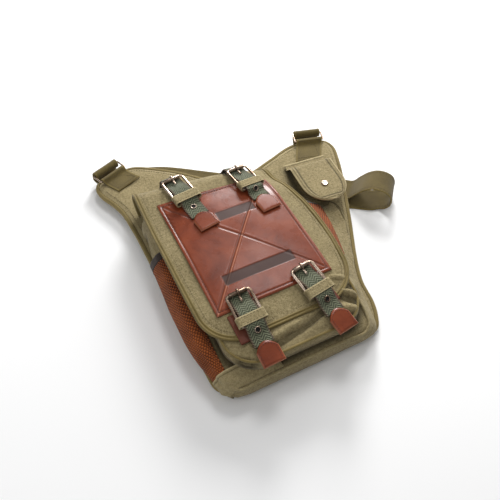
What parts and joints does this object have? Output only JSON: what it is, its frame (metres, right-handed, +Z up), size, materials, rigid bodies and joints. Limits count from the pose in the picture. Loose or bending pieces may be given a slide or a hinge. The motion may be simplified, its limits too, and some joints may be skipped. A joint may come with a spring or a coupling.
{
  "type": "shoulder bag",
  "caption": "Canvas shoulder bag lying on its back, with a flap, leather panel, buckled straps, mesh side pockets, a snap pocket and a webbing strap.",
  "frame": {"origin": "on the floor under the middle of the whole bag as it lies, strap included", "axes": "+Y from the bag's bottom to the strap rings, +Z up from the floor out of the bag's front, +X to the right of someone who looks down at the front"},
  "size_m": [0.3936, 0.4208, 0.0852],
  "materials": {
    "canvas": "washed cotton canvas",
    "binding": "cotton tape",
    "leather": "polished",
    "webbing": "herringbone webbing",
    "strap_webbing": "cotton webbing",
    "mesh": "knitted mesh",
    "elastic": "ribbed elastic",
    "metal": "worn nickel plate"
  },
  "bodies": {
    "root": {"back_panel": "canvas", "back_binding": "binding", "body_shell": "canvas", "front_pocket": "canvas", "mesh_pocket_left": "mesh", "elastic_left": "elastic", "mesh_pocket_right": "mesh", "elastic_right": "elastic", "flap": "canvas", "flap_binding": "binding", "leather_panel": "leather", "strap_upper_left": "webbing", "tip_upper_left": "leather", "frame_upper_left": "metal", "roller_upper_left": "metal", "prong_upper_left": "metal", "keeper_upper_left": "canvas", "eyelet_upper_left": "metal", "strap_upper_right": "webbing", "tip_upper_right": "leather", "frame_upper_right": "metal", "roller_upper_right": "metal", "prong_upper_right": "metal", "keeper_upper_right": "canvas", "eyelet_upper_right": "metal", "strap_lower_left": "webbing", "tip_lower_left": "leather", "frame_lower_left": "metal", "roller_lower_left": "metal", "prong_lower_left": "metal", "keeper_lower_left": "canvas", "eyelet_lower_left": "metal", "tab_lower_left": "leather", "strap_lower_right": "webbing", "tip_lower_right": "leather", "frame_lower_right": "metal", "roller_lower_right": "metal", "prong_lower_right": "metal", "keeper_lower_right": "canvas", "eyelet_lower_right": "metal", "tab_lower_right": "leather", "ring_left": "metal", "ring_right": "metal", "ear_tab_left": "strap_webbing", "ear_tab_right": "strap_webbing", "snap_pocket": "canvas", "snap_flap": "canvas", "snap_cap": "metal", "shoulder_strap": "strap_webbing"}
  },
  "joints": []
}
